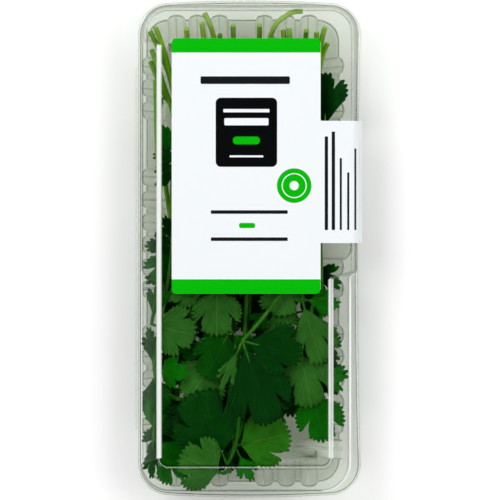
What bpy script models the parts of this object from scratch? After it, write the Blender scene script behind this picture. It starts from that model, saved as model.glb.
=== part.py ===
"""A bunch of cut coriander in a clear hinged pack with a paper label.

Units are millimetres in the constants and metres in the scene. The pack lies on its tray: +Z is up,
+Y runs towards the cut stem ends, and the hinge is on the -X side. The origin is under the pack's centre,
on the surface that it rests on.
"""

import math

import bmesh
import bpy
from mathutils import Matrix, Vector

MM = 0.001

# Pack
SHEET = 0.45                    # thickness of the formed plastic
FOLD_GAP = 0.3                  # clearance between pieces that touch
TRAY_DEPTH = 22.0               # underside of the tray's flange
LID_FLANGE = TRAY_DEPTH + SHEET + FOLD_GAP + SHEET   # upper side of the lid's flange
PACK_TOP = 31.0                 # upper side of the lid's panel
HALF_LENGTH = 104.0
OUTER_CORNER = 13.0
END_BOW = 1.0                   # how far the short ends bulge past the corners
SIDE_BOW = 1.2                  # how far the opening side is drawn in
FLANGE_LEFT = -46.25
FLANGE_RIGHT = 46.95

# Tray cavity, measured at the rim
RIM = {"x0": -42.3, "x1": 37.5, "y0": -97.1, "y1": 95.6, "corner": 8.6}
WALL_RUN = 7.0                  # how far the floor's edge is inside the rim
FOOT_RUN = 0.9                  # width of the small slope at the foot of the wall
FOOT_RISE = 1.6
FLOOR_CORNER = 2.6
FLUTE_WIDTH = 7.0
FLUTE_DEPTH = 2.0
LONG_FLUTES = (76.6, 67.4, 58.0, 30.1, 20.7, 11.3, -7.5, -16.7, -35.6, -45.0, -54.4, -64.4, -73.7)
HINGE_FLUTES = LONG_FLUTES[:6] + (1.9,) + LONG_FLUTES[6:]
END_FLUTES = (-30.2, -21.4, -12.2, 6.6, 15.9, 25.3)
BUTTON = {"at": 1.0, "half": 5.9, "depth": 5.4}       # round closing lug in the opening side
RAMP = {"at": -84.0, "half": 4.4, "reach": 11.0}      # sloping lug at the lower corner

# Lid
DOME = {"x0": -45.2, "x1": 45.7, "y0": -101.4, "y1": 102.2, "corner": 12.0}
DOME_RUN = 1.8                  # slope of the dome's steep walls
PANEL_LEFT = -37.5              # edge of the raised panel where the wall is a long chamfer
PANEL_RIGHT = 34.5
PANEL_BOTTOM = -91.0
CHAMFER_FOOT_RIGHT = 42.2
CHAMFER_FOOT_LEFT = -44.8
LEFT_CHAMFER = (-91.0, 88.0)    # where along Y each chamfer runs
RIGHT_CHAMFER = (-91.0, -9.0)
CHAMFER_EASE = 3.0

# Hinge
HINGE_X = -47.0
HINGE_Z = TRAY_DEPTH + SHEET + FOLD_GAP / 2
HINGE_RADIUS = 0.45
HINGE_HALF = 76.0

# Label
LABEL = {"x0": -32.0, "x1": 30.0, "y0": -18.6, "y1": 87.8}
LABEL_CORNER = 2.0
TAB = {"y0": 2.5, "y1": 53.4}
PAPER = 0.2
TAB_DROP = 1.6                  # how far the tab hangs down past the lid's flange

# Sprigs
STEM = 1.5                      # stem thickness
BLADE = 0.42                    # leaf thickness
PETIOLULE = 0.8                 # width of a leaflet's own stalk
HUB = 1.3                       # radius of the node where the leaflets meet
STEM_STEPS = 8
LEVELS = 16
LAYER_LOW = 0.035
LAYER_HIGH = 0.965
CLEAR = 0.55

# Each sprig: its level in the pile, its stem from the cut end to the node, and its leaflets as
# (bearing in degrees, stalk, length, half spread in degrees).
SPRIGS = {
    "sprig_01": (15, [(16.9, 92), (19, 60), (17.4, 20), (15.3, -13), (8.2, -25.9), (-2.6, -38.3)],
                 [(-14, 1.5, 21, 34), (-71, 2.0, 31, 26), (-114, 4.0, 16, 12)]),
    "sprig_02": (10.5, [(-6.5, 93.5), (-5.2, 40), (-1, -10), (-3, -55), (-5, -80), (-8.9, -90.3)],
                 [(115, 4.7, 26, 50)]),
    "sprig_03": (13, [(-19.5, 94.5), (-15.5, 60), (-12.5, 20), (-13.3, -14.2)],
                 [(-90, 2.0, 17.5, 50), (-164, 2.5, 17, 22), (15, 2.5, 13, 42)]),
    "sprig_04": (14, [(-38.8, 70.7), (-38.2, 45), (-37, 20), (-37.6, -12), (-40.6, -31.5)],
                 [(-14, 1.5, 15.5, 58), (78, 2.5, 13.5, 20)]),
    "sprig_05": (12, [(-18.4, 98.5), (-14, 85), (-12.6, 45), (-15.5, -8), (-9.6, -26.4), (-7.6, -33.8)],
                 [(-118, 1.5, 19, 42), (-48, 1.5, 10, 30)]),
    "sprig_06": (10, [(-26, 92), (-24, 50), (-21, 0), (-17, -30), (-14.2, -46.5)],
                 [(-124, 1.5, 16.5, 58), (160, 3.0, 11, 22)]),
    "sprig_07": (12, [(-40.5, 83.4), (-36, 70), (-30.4, 48), (-32, 0), (-37.5, -35), (-39.5, -50.5)],
                 [(-6, 1.5, 10.5, 52), (-86, 1.5, 14, 26), (97, 1.5, 14, 14)]),
    "sprig_08": (13, [(22.6, 99.2), (16.1, 97.6), (8.5, 86), (5.6, 40), (9.8, -4.6), (12.2, -11.4)],
                 [(-80, 2.0, 13, 66)]),
    "sprig_09": (14, [(14.4, 91.5), (21, 45), (24, 0), (22.2, -21)],
                 [(-73, 2.5, 23, 28), (-8, 1.5, 12.5, 28)]),
    "sprig_10": (12, [(28.4, 90.5), (28.6, 40), (28.5, -10), (25, -32), (22, -42.3)],
                 [(-80, 1.5, 20, 44), (26, 1.5, 12.5, 24)]),
    "sprig_11": (10.6, [(31.8, 92.5), (29.2, 76), (29.3, 30), (30.5, -25), (27.8, -56)],
                 [(-82, 4.0, 19, 40), (20, 1.5, 11, 50), (200, 1.5, 11, 34)]),
    "sprig_12": (9, [(4.6, 93.5), (4, 40), (0.5, -20), (-1, -58), (-3, -74), (-6, -82.5)],
                 [(12, 1.5, 20.5, 48), (-62, 4.0, 10, 26), (-124, 1.5, 9.5, 34),
                  (100, 1.5, 9, 32)]),
    "sprig_13": (7.5, [(-41, 78.5), (-36, 66), (-31, 52), (-34, 0), (-38.5, -50), (-40, -79)],
                 [(54, 1.5, 15.5, 66), (-44, 2.0, 18.5, 34), (-92, 1.5, 13, 12)]),
    "sprig_14": (8, [(33, 86), (29.5, 74), (21.6, 20.5), (8, -38), (2.5, -59)],
                 [(-112, 3.0, 13, 34), (-50, 3.0, 13.5, 26)]),
    "sprig_15": (10, [(-41.2, 91), (-36, 80), (-31.6, 66), (-27.5, 36), (-29.3, 1.6)],
                 [(-178, 1.5, 10.5, 40), (-122, 2.0, 15, 34), (118, 1.5, 10, 26)]),
    "sprig_16": (13, [(-38.8, 92.5), (-34.5, 80), (-29.5, 58.2), (-27.4, 38)],
                 [(176, 1.5, 9, 32), (126, 2.0, 12, 30), (-132, 1.5, 12, 28)]),
    "sprig_17": (8.7, [(21.6, -4.6), (26, 28), (32.5, 49)],
                 [(93, 2.0, 21, 28), (12, 1.5, 6.5, 40), (162, 1.5, 12, 30)]),
    "sprig_18": (6.4, [(24.2, 91.5), (21.6, 50), (22.2, 10), (23.2, -8.5)],
                 [(-24, 1.5, 12.5, 30), (-82, 1.5, 16, 30), (-140, 1.5, 10, 28)]),
    "sprig_19": (6.2, [(-36.6, 63.5), (-37.4, 48), (-30.8, 0), (-22, -33)],
                 [(-98, 4.0, 20, 46), (-172, 1.5, 12, 36), (-28, 1.5, 16, 34)]),
    "sprig_20": (7, [(19, 88), (15, 50), (10, 0), (6.5, -42)],
                 [(-58, 4.0, 21, 42), (12, 1.5, 14, 30), (-128, 1.5, 12, 26)]),
    "sprig_21": (4, [(-12, 90), (-18, 40), (-24, -20), (-26, -58)],
                 [(-72, 5.0, 21, 46), (-152, 1.5, 13, 34), (0, 1.5, 16, 38)]),
    "sprig_22": (5, [(10, 89), (17, 40), (19, 0), (19.5, -27)],
                 [(-62, 5.0, 20, 44), (12, 1.5, 12, 36), (-140, 1.5, 16, 38)]),
    "sprig_23": (5, [(-22, 88), (-18, 40), (-8, 0), (-6, -40)],
                 [(-90, 4.0, 22, 44), (-168, 1.5, 15, 34), (-12, 1.5, 9.5, 30)]),
    "sprig_24": (3, [(27, 87), (27, 40), (25, -10), (24, -44)],
                 [(-112, 4.0, 22, 38), (-52, 2.0, 16, 30), (176, 1.5, 12, 30)]),
    "sprig_25": (2, [(-30, 86), (-29, 60), (-25, 20), (-25, -8)],
                 [(-95, 4.0, 21, 44), (-164, 1.5, 15, 24), (-20, 1.5, 17, 32)]),
    "sprig_26": (1, [(8, 86), (3, 60), (4, 36), (2, -8)],
                 [(-88, 4.0, 22, 46), (-164, 1.5, 15, 30), (-12, 1.5, 17, 30)]),
    "sprig_27": (0, [(18, 84), (6, 40), (-4, -10), (-8, -60)],
                 [(-78, 7.5, 23, 46), (-158, 1.5, 18, 30), (-6, 1.5, 17, 30)]),
    "sprig_28": (12, [(12, 60), (10, 20), (9, -8), (9.4, -24)],
                 [(-60, 1.8, 14, 40), (-128, 1.5, 9, 26)]),
    "sprig_29": (13, [(-7.2, -91.8), (-10.6, -93.9)],
                 [(157, 0.8, 16.8, 60)]),
    "sprig_30": (9, [(-36.8, -58.5), (-34, -60.8), (-30, -62.9), (-24, -63.9), (-18, -66)],
                 [(-44, 1.0, 7.5, 30), (-96, 1.5, 14, 24), (-152, 1.5, 16, 26)]),
    "sprig_31": (5.2, [(-22, 60), (-26, 20), (-30, -30), (-33, -60), (-32.5, -72)],
                 [(-114, 1.5, 14, 42), (-52, 6.0, 17, 24), (28, 1.5, 10, 30)]),
}

COLOURS = {
    "clear_plastic": ((0.86, 0.89, 0.85), 0.08, 0.18),
    "label_paper": ((0.93, 0.96, 0.98), 0.45, 1.0),
    "coriander_green": ((0.04, 0.16, 0.02), 0.45, 1.0),
}


# ---------------------------------------------------------------- helpers
def clear_scene():
    for obj in list(bpy.data.objects):
        bpy.data.objects.remove(obj)


def material(name):
    found = bpy.data.materials.get(name)
    if found:
        return found
    colour, roughness, alpha = COLOURS[name]
    made = bpy.data.materials.new(name)
    made.use_nodes = True
    shader = made.node_tree.nodes["Principled BSDF"]
    shader.inputs["Base Color"].default_value = (*colour, 1.0)
    shader.inputs["Roughness"].default_value = roughness
    shader.inputs["Metallic"].default_value = 0.0
    shader.inputs["Alpha"].default_value = alpha
    return made


def object_from(bm, name, finish, collection):
    mesh = bpy.data.meshes.new(name)
    bm.to_mesh(mesh)
    bm.free()
    obj = bpy.data.objects.new(name, mesh)
    mesh.materials.append(material(finish))
    collection.objects.link(obj)
    return obj


def add_solidify(obj, thickness, offset):
    modifier = obj.modifiers.new("Solidify", "SOLIDIFY")
    modifier.thickness = thickness * MM
    modifier.offset = offset
    modifier.use_even_offset = True
    return modifier


def ease(value):
    value = min(1.0, max(0.0, value))
    return value * value * (3 - 2 * value)


def inside_span(value, span, width):
    """1 inside the span, 0 outside it, easing over the given width within it."""
    return ease((value - span[0]) / width) * ease((span[1] - value) / width)


# ---------------------------------------------------------------- outlines of the pack
def flute_stations(centre, half, offsets):
    return [centre + half * offset for offset in offsets]


def side_stations(low, high, flutes, extra=()):
    """Places along one side: its two ends, both edges and the crown of every flute."""
    places = [low, high, *extra]
    for flute in flutes:
        places += flute_stations(flute, FLUTE_WIDTH / 2, (-1, -0.55, 0.55, 1))
    return sorted(places)


def perimeter(long_right, ends, long_left, steps):
    """Stations anticlockwise from the lower end of the right side, as (side, place), or (corner, share of its turn)."""
    turn = [(index + 0.5) / steps for index in range(steps)]
    found = [("right", place) for place in long_right]
    found += [("top_right", share) for share in turn]
    found += [("top", place) for place in reversed(ends)]
    found += [("top_left", share) for share in turn]
    found += [("left", place) for place in reversed(long_left)]
    found += [("bottom_left", share) for share in turn]
    found += [("bottom", place) for place in ends]
    found += [("bottom_right", share) for share in turn]
    return found


def spans_of(stations):
    """Where the stations of each side start and end."""
    places = {side: [value for named, value in stations if named == side]
              for side in ("right", "top", "left", "bottom")}
    return {side: (min(values), max(values)) for side, values in places.items()}


def corner_turn(side, share, box, spans):
    """The angle of a corner's station: the sides' own stations may already run into the corner's round."""
    up, along = ("top" in side), ("right" in side)
    over_y = (spans["right"][1] - box["y1"] if up else box["y0"] - spans["right"][0]) + box["corner"]
    over_x = (spans["top"][1] - box["x1"] if along else box["x0"] - spans["top"][0]) + box["corner"]
    from_side = math.asin(min(1.0, max(0.0, over_y) / box["corner"]))
    from_end = math.pi / 2 - math.asin(min(1.0, max(0.0, over_x) / box["corner"]))
    start = {"top_right": 0, "top_left": 90, "bottom_left": 180, "bottom_right": 270}[side]
    if side in ("top_left", "bottom_right"):
        from_side, from_end = math.pi / 2 - from_end, math.pi / 2 - from_side
    return math.radians(start) + from_side + (from_end - from_side) * share


def plain_point(station, box, spans):
    """The station's point on a rounded rectangle, and the way out from it."""
    side, value = station
    corner = box["corner"]
    if side in ("right", "left", "top", "bottom"):
        low, high = (box["y0"], box["y1"]) if side in ("right", "left") else (box["x0"], box["x1"])
        over = max(0.0, value - high + corner, low + corner - value)
        drop = corner - math.sqrt(max(0.0, corner * corner - over * over))
        return {"right": (Vector((box["x1"] - drop, value)), Vector((1, 0))),
                "left": (Vector((box["x0"] + drop, value)), Vector((-1, 0))),
                "top": (Vector((value, box["y1"] - drop)), Vector((0, 1))),
                "bottom": (Vector((value, box["y0"] + drop)), Vector((0, -1)))}[side]
    centre = Vector((box["x1"] - corner if "right" in side else box["x0"] + corner,
                     box["y1"] - corner if "top" in side else box["y0"] + corner))
    angle = corner_turn(side, value, box, spans)
    way = Vector((math.cos(angle), math.sin(angle)))
    return centre + way * corner, way


def inset(box, distance, corner=None):
    return {"x0": box["x0"] + distance, "x1": box["x1"] - distance,
            "y0": box["y0"] + distance, "y1": box["y1"] - distance,
            "corner": corner or max(2.0, box["corner"] - distance)}


def flute_bulge(side, value, height):
    """How far the fluted tray wall stands out at this place, for a height from 0 at the floor to 1 at the rim."""
    if side in ("top", "bottom"):
        flutes = END_FLUTES
    elif side == "right":
        flutes = LONG_FLUTES
    elif side == "left":
        flutes = HINGE_FLUTES
    else:
        return 0.0
    near = min(abs(value - flute) for flute in flutes) / (FLUTE_WIDTH / 2)
    bulge = FLUTE_DEPTH * (0.25 + 0.75 * height) * math.sqrt(max(0.0, 1 - near * near))
    if side == "right":
        near = abs(value - BUTTON["at"]) / BUTTON["half"]
        bulge = max(bulge, BUTTON["depth"] * height * math.sqrt(max(0.0, 1 - near * near)))
        near = abs(value - RAMP["at"]) / RAMP["half"]
        if near < 1:
            crown = math.sqrt(1 - near * near)
            bulge = (FLUTE_DEPTH * height - RAMP["reach"] * (1 - height)) * crown
    return bulge


def ring(bm, stations, box, z, shape=None):
    points = []
    spans = spans_of(stations)
    for station in stations:
        point, way = plain_point(station, box, spans)
        if shape:
            point = shape(station, point, way)
        points.append(bm.verts.new((point.x * MM, point.y * MM, z * MM)))
    return points


def bridge(bm, low, high):
    count = len(low)
    for index in range(count):
        after = (index + 1) % count
        bm.faces.new((low[index], low[after], high[after], high[index]))


def flange_box():
    return {"x0": FLANGE_LEFT, "x1": FLANGE_RIGHT, "y0": -HALF_LENGTH + END_BOW,
            "y1": HALF_LENGTH - END_BOW, "corner": OUTER_CORNER}


def flange_shape(station, point, way):
    """The bowed edge that both flanges share."""
    side, value = station
    if side == "right":
        straight = HALF_LENGTH - END_BOW - OUTER_CORNER
        point = point - way * SIDE_BOW * max(0.0, 1 - (value / straight) ** 2)
    elif side in ("top", "bottom"):
        straight = FLANGE_RIGHT - OUTER_CORNER
        point = point + way * END_BOW * max(0.0, 1 - (value / straight) ** 2)
    return point


# ---------------------------------------------------------------- tray
def build_tray(collection):
    low, high = RIM["y0"] + RIM["corner"], RIM["y1"] - RIM["corner"]
    left, right = RIM["x0"] + RIM["corner"], RIM["x1"] - RIM["corner"]
    special = flute_stations(BUTTON["at"], BUTTON["half"], (-1, -0.85, -0.4, 0.4, 0.85, 1))
    special += [RAMP["at"] + RAMP["half"] * share for share in (-0.9, -0.6, 0, 0.6, 1)]
    stations = perimeter(side_stations(low, high, LONG_FLUTES, special),
                         side_stations(left, right, END_FLUTES),
                         side_stations(low, high, HINGE_FLUTES), 4)

    def wall(height):
        def shape(station, point, way):
            return point + way * flute_bulge(*station, height)
        return shape

    bm = bmesh.new()
    foot_height = FOOT_RISE / TRAY_DEPTH
    floor = inset(RIM, WALL_RUN + FOOT_RUN, FLOOR_CORNER)
    foot = inset(RIM, WALL_RUN, FLOOR_CORNER + 0.4)
    rings = [
        ring(bm, stations, floor, 0.0, wall(0.0)),
        ring(bm, stations, foot, FOOT_RISE, wall(foot_height)),
        ring(bm, stations, RIM, TRAY_DEPTH, wall(1.0)),
        ring(bm, stations, flange_box(), TRAY_DEPTH, flange_shape),
    ]
    for below, above in zip(rings, rings[1:]):
        bridge(bm, below, above)
    bm.faces.new(list(reversed(rings[0])))
    tray = object_from(bm, "tray", "clear_plastic", collection)
    add_solidify(tray, SHEET, -1)
    return tray


# ---------------------------------------------------------------- lid
def dome_foot(station, point, way):
    """The foot of the dome's wall, drawn in where the wall is a long chamfer."""
    side, value = station
    if side == "right":
        point.x += (CHAMFER_FOOT_RIGHT - DOME["x1"]) * chamfer_share("right", value)
    elif side == "left":
        point.x += (CHAMFER_FOOT_LEFT - DOME["x0"]) * chamfer_share("left", value)
    elif side in ("bottom", "bottom_right"):
        point.x += (CHAMFER_FOOT_RIGHT - DOME["x1"]) * ease((point.x - 10) / 30)
    return point


def chamfer_share(side, value):
    if side == "right":
        return ease((RIGHT_CHAMFER[1] - value) / CHAMFER_EASE)
    return ease((LEFT_CHAMFER[1] - value) / CHAMFER_EASE)


def panel_edge(station, point, way):
    """The edge of the raised panel."""
    side, value = station
    if side == "right":
        point.x += (PANEL_RIGHT - DOME["x1"] + DOME_RUN) * chamfer_share("right", value)
        point.y = max(point.y, PANEL_BOTTOM + 4)
    elif side == "left":
        point.x += (PANEL_LEFT - DOME["x0"] - DOME_RUN) * chamfer_share("left", value)
        point.y = max(point.y, PANEL_BOTTOM + 4)
    elif "bottom" in side:
        point.x = min(PANEL_RIGHT, max(PANEL_LEFT, point.x))
        point.y = PANEL_BOTTOM
        if side == "bottom_right":
            point = Vector((PANEL_RIGHT - 4, PANEL_BOTTOM + 4)) + way * 4
        if side == "bottom_left":
            point = Vector((PANEL_LEFT + 4, PANEL_BOTTOM + 4)) + way * 4
    return point


def build_lid(collection):
    low, high = DOME["y0"] + DOME["corner"], DOME["y1"] - DOME["corner"]
    long_right = [low, -60, -20, RIGHT_CHAMFER[1] - CHAMFER_EASE, RIGHT_CHAMFER[1] - CHAMFER_EASE / 2,
                  RIGHT_CHAMFER[1], 0, 30, 60, high]
    long_left = [low, -60, -20, 20, 60, LEFT_CHAMFER[1] - CHAMFER_EASE,
                 LEFT_CHAMFER[1] - CHAMFER_EASE / 2, LEFT_CHAMFER[1], high]
    ends = [DOME["x0"] + DOME["corner"], -20, 0, 20, DOME["x1"] - DOME["corner"]]
    stations = perimeter(long_right, ends, long_left, 5)
    bm = bmesh.new()
    rings = [
        ring(bm, stations, flange_box(), LID_FLANGE, flange_shape),
        ring(bm, stations, DOME, LID_FLANGE, dome_foot),
        ring(bm, stations, inset(DOME, DOME_RUN), PACK_TOP, panel_edge),
    ]
    for below, above in zip(rings, rings[1:]):
        bridge(bm, below, above)
    bm.faces.new(rings[-1])
    lid = object_from(bm, "lid", "clear_plastic", collection)
    add_solidify(lid, SHEET, -1)
    return lid


def build_hinge(collection):
    """The slim bead of plastic along the fold, on the hinge's axis."""
    bpy.ops.mesh.primitive_cylinder_add(
        vertices=8, radius=HINGE_RADIUS * MM, depth=2 * HINGE_HALF * MM,
        location=(HINGE_X * MM, 0, HINGE_Z * MM), rotation=(math.radians(90), math.radians(22.5), 0))
    hinge = bpy.context.active_object
    hinge.name = "hinge_bead"
    hinge.data.name = "hinge_bead"
    hinge.data.materials.append(material("clear_plastic"))
    hinge.data.shade_smooth()
    hinge.data.set_sharp_from_angle(angle=math.radians(60))
    for user in list(hinge.users_collection):
        user.objects.unlink(hinge)
    collection.objects.link(hinge)
    return hinge


# ---------------------------------------------------------------- label
def label_outline():
    """The flat label, anticlockwise, as points across (from the left edge) and along the pack."""
    across = tab_route()[-1][0]
    points = []

    def arc(x, y, start):
        for step in range(4):
            turn = math.radians(start + 30 * step)
            points.append((x + LABEL_CORNER * math.cos(turn), y + LABEL_CORNER * math.sin(turn)))

    arc(LABEL["x0"] + LABEL_CORNER, LABEL["y0"] + LABEL_CORNER, 180)
    arc(LABEL["x1"] - LABEL_CORNER, LABEL["y0"] + LABEL_CORNER, 270)
    points.append((LABEL["x1"], TAB["y0"]))
    points.append((across, TAB["y0"]))
    points.append((across, TAB["y1"]))
    points.append((LABEL["x1"], TAB["y1"]))
    arc(LABEL["x1"] - LABEL_CORNER, LABEL["y1"] - LABEL_CORNER, 0)
    arc(LABEL["x0"] + LABEL_CORNER, LABEL["y1"] - LABEL_CORNER, 90)
    return points


def tab_route():
    """(flat place, x, z) at each bend of the tab: over the panel, down the wall, over the flange, down its edge."""
    top = PACK_TOP + FOLD_GAP
    ledge = LID_FLANGE + FOLD_GAP
    wall_top = DOME["x1"] - DOME_RUN + 0.3
    wall_foot = DOME["x1"] + 0.3
    edge = FLANGE_RIGHT + FOLD_GAP
    bends = [(wall_top, top), (wall_foot, ledge), (edge, ledge), (edge, ledge - TAB_DROP)]
    route = [(wall_top, wall_top, top)]
    for (x0, z0), (x1, z1) in zip(bends, bends[1:]):
        route.append((route[-1][0] + math.hypot(x1 - x0, z1 - z0), x1, z1))
    return route


def bend_label(flat):
    route = tab_route()
    if flat <= route[0][0]:
        return flat, route[0][2]
    for (a, x0, z0), (b, x1, z1) in zip(route, route[1:]):
        if flat <= b + 1e-6:
            share = (flat - a) / (b - a)
            return x0 + (x1 - x0) * share, z0 + (z1 - z0) * share
    return route[-1][1], route[-1][2]


def build_label(collection):
    bm = bmesh.new()
    corners = [bm.verts.new((x, y, 0)) for x, y in label_outline()]
    bm.faces.new(corners)
    bends = [LABEL["x1"]] + [flat for flat, _, _ in tab_route()[:-1]]
    for flat in bends:
        bmesh.ops.bisect_plane(bm, geom=bm.verts[:] + bm.edges[:] + bm.faces[:], dist=1e-4,
                               plane_co=(flat, 0, 0), plane_no=(1, 0, 0))
    for vert in bm.verts:
        x, z = bend_label(vert.co.x)
        vert.co = (x * MM, vert.co.y * MM, z * MM)
    label = object_from(bm, "label", "label_paper", collection)
    add_solidify(label, PAPER, 1)
    return label


# ---------------------------------------------------------------- the pile of sprigs
def rim_depth(x, y):
    """How far a point is inside the tray's rim, negative outside it."""
    half_x, half_y = (RIM["x1"] - RIM["x0"]) / 2, (RIM["y1"] - RIM["y0"]) / 2
    qx = abs(x - (RIM["x0"] + RIM["x1"]) / 2) - half_x + RIM["corner"]
    qy = abs(y - (RIM["y0"] + RIM["y1"]) / 2) - half_y + RIM["corner"]
    return RIM["corner"] - math.hypot(max(qx, 0), max(qy, 0)) - min(max(qx, qy), 0)


def lowest(x, y):
    """The lowest height that a leaf can have here, over the tray's floor, wall or flange."""
    slope = 1 - (rim_depth(x, y) - 1.0) / (WALL_RUN + FOOT_RUN)
    lift = min(1.0, 0.5 * (slope + math.sqrt(slope * slope + 0.01)))
    return SHEET + CLEAR + lift * (TRAY_DEPTH + 0.25)


def highest(x, y):
    """The greatest height that a leaf can have here, under the lid's panel or its chamfers."""
    fall = (PACK_TOP - LID_FLANGE) / (PANEL_LEFT - CHAMFER_FOOT_LEFT)
    drop = 0.0
    if y < LEFT_CHAMFER[1]:
        drop = max(drop, fall * (PANEL_LEFT + 0.8 - x))
    if y < RIGHT_CHAMFER[1]:
        drop = max(drop, fall * (x - PANEL_RIGHT + 0.8))
    drop = max(drop, 0.8 * (PANEL_BOTTOM + 0.8 - y))
    return PACK_TOP - SHEET - CLEAR - min(drop, PACK_TOP - LID_FLANGE - 0.4)


def wave(x, y):
    return (0.05 * math.sin(x / 9.5 + y / 17.0 + 0.6) + 0.035 * math.sin(y / 11.0 - x / 23.0 + 2.0))


def layer_height(x, y, level):
    """The height of a layer of the pile: layers follow the tray below and the lid above, and never cross."""
    share = LAYER_LOW + (LAYER_HIGH - LAYER_LOW) * level / (LEVELS - 1)
    share += wave(x, y) * 4 * share * (1 - share)
    low = lowest(x, y)
    return low + (max(highest(x, y), low + 0.3) - low) * share


def smooth_route(points, steps):
    """Points evenly along a Catmull-Rom curve through the given points."""
    fine = []
    ends = [points[0], *points, points[-1]]
    for a, b, c, d in zip(ends, ends[1:], ends[2:], ends[3:]):
        for index in range(12):
            t = index / 12
            fine.append(tuple(0.5 * (2 * q + (r - p) * t + (2 * p - 5 * q + 4 * r - s) * t * t
                                     + (3 * q - p - 3 * r + s) * t ** 3) for p, q, r, s in zip(a, b, c, d)))
    fine.append(points[-1])
    lengths = [0.0]
    for a, b in zip(fine, fine[1:]):
        lengths.append(lengths[-1] + math.dist(a, b))
    found = []
    for index in range(steps + 1):
        wanted = lengths[-1] * index / steps
        place = max(i for i, length in enumerate(lengths[:-1]) if length <= wanted + 1e-9)
        share = (wanted - lengths[place]) / (lengths[place + 1] - lengths[place])
        found.append(Vector(fine[place]).lerp(Vector(fine[place + 1]), share))
    return found


class Sheet:
    """One sprig as a flat sheet with a thickness at each point, laid on its layer of the pile."""

    def __init__(self, level):
        self.bm = bmesh.new()
        self.level = level
        self.weights = []

    def point(self, place, thickness):
        z = layer_height(place.x, place.y, self.level)
        vert = self.bm.verts.new((place.x * MM, place.y * MM, z * MM))
        self.weights.append(thickness / STEM)
        return vert

    def cross(self, centre, way, width, thickness):
        """Three points across a stalk: right, middle, left of the way it grows."""
        side = Vector((-way.y, way.x)) * width / 2
        edge = max(BLADE, thickness * 0.55)
        return [self.point(centre - side, edge), self.point(centre, thickness), self.point(centre + side, edge)]

    def join(self, first, second):
        for a, b in ((0, 1), (1, 2)):
            self.bm.faces.new((first[a], second[a], second[b], first[b]))

    def leaflet(self, base, foot, way, length, spread):
        """A three-lobed blade that fans out from its stalk."""
        outline = []
        for share, reach in ((-1, 0.5), (-0.9, 0.78), (-0.55, 0.88), (-0.36, 0.66), (-0.2, 0.94), (0, 1),
                             (0.2, 0.94), (0.36, 0.66), (0.55, 0.88), (0.9, 0.78), (1, 0.5)):
            turn = math.radians(share * spread)
            reach *= 1 - 0.12 * share * share
            arm = Vector((way.x * math.cos(turn) - way.y * math.sin(turn),
                          way.x * math.sin(turn) + way.y * math.cos(turn)))
            outline.append(self.point(foot + arm * length * reach, BLADE))
        centre = self.point(foot + way * length * 0.42, BLADE)
        loop = [base[0], *outline, base[2], base[1]]
        for a, b in zip(loop, loop[1:] + loop[:1]):
            self.bm.faces.new((centre, a, b))


def build_sprig(name, level, stem, leaflets, collection):
    sheet = Sheet(level)
    route = smooth_route(stem, STEM_STEPS)
    node = route[-1]
    back = (route[-2] - node).normalized()
    branches = [(math.atan2(back.y, back.x), None)]
    for bearing, stalk, length, spread in leaflets:
        branches.append((math.radians(bearing), (stalk, length, spread)))
    branches.sort(key=lambda branch: branch[0] % math.tau)

    hub = []
    for angle, leaf in branches:
        way = Vector((math.cos(angle), math.sin(angle)))
        width = PETIOLULE if leaf else STEM
        crossing = sheet.cross(node + way * HUB, way, width, width)
        hub.append((way, leaf, crossing))
    middle = sheet.point(node, STEM)
    loop = [vert for _, _, crossing in hub for vert in crossing]
    for a, b in zip(loop, loop[1:] + loop[:1]):
        sheet.bm.faces.new((middle, a, b))

    for way, leaf, crossing in hub:
        if leaf:
            stalk, length, spread = leaf
            foot = node + way * (HUB + stalk)
            base = sheet.cross(foot, way, PETIOLULE, PETIOLULE)
            sheet.join(crossing, base)
            sheet.leaflet(base, foot, way, length, spread)
        else:
            last = crossing
            for before, place, after in zip(route[-1:0:-1], route[-2::-1], [*route[-3::-1], None]):
                if (place - node).length < 1.2 * HUB:  # a section inside the hub would fold back over it
                    continue
                along = ((after or place) - before).normalized()
                section = sheet.cross(place, along, STEM, STEM)
                sheet.join(last, section)
                last = section

    bmesh.ops.triangulate(sheet.bm, faces=[face for face in sheet.bm.faces if len(face.verts) > 3])
    bmesh.ops.recalc_face_normals(sheet.bm, faces=sheet.bm.faces[:])
    obj = object_from(sheet.bm, name, "coriander_green", collection)
    thick = obj.vertex_groups.new(name="thickness")
    for index, weight in enumerate(sheet.weights):
        thick.add([index], weight, "REPLACE")
    modifier = add_solidify(obj, STEM, 0)
    modifier.use_even_offset = False
    modifier.vertex_group = thick.name
    return obj


def hang_on_hinge(pieces, collection):
    """An empty on the hinge's axis carries the pieces that turn with the lid."""
    pivot = bpy.data.objects.new("lid_pivot", None)
    pivot.location = (HINGE_X * MM, 0, HINGE_Z * MM)
    collection.objects.link(pivot)
    for piece in pieces:
        piece.parent = pivot
        piece.matrix_parent_inverse = Matrix.Translation(-pivot.location)


def build_pack():
    clear_scene()
    collection = bpy.data.collections.new("coriander_bunch_in_clear_pack")
    bpy.context.scene.collection.children.link(collection)
    build_tray(collection)
    lid = build_lid(collection)
    build_hinge(collection)
    label = build_label(collection)
    hang_on_hinge((lid, label), collection)
    for name, (level, stem, leaflets) in SPRIGS.items():
        build_sprig(name, level, stem, leaflets, collection)


build_pack()
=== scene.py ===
import math
import random

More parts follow.
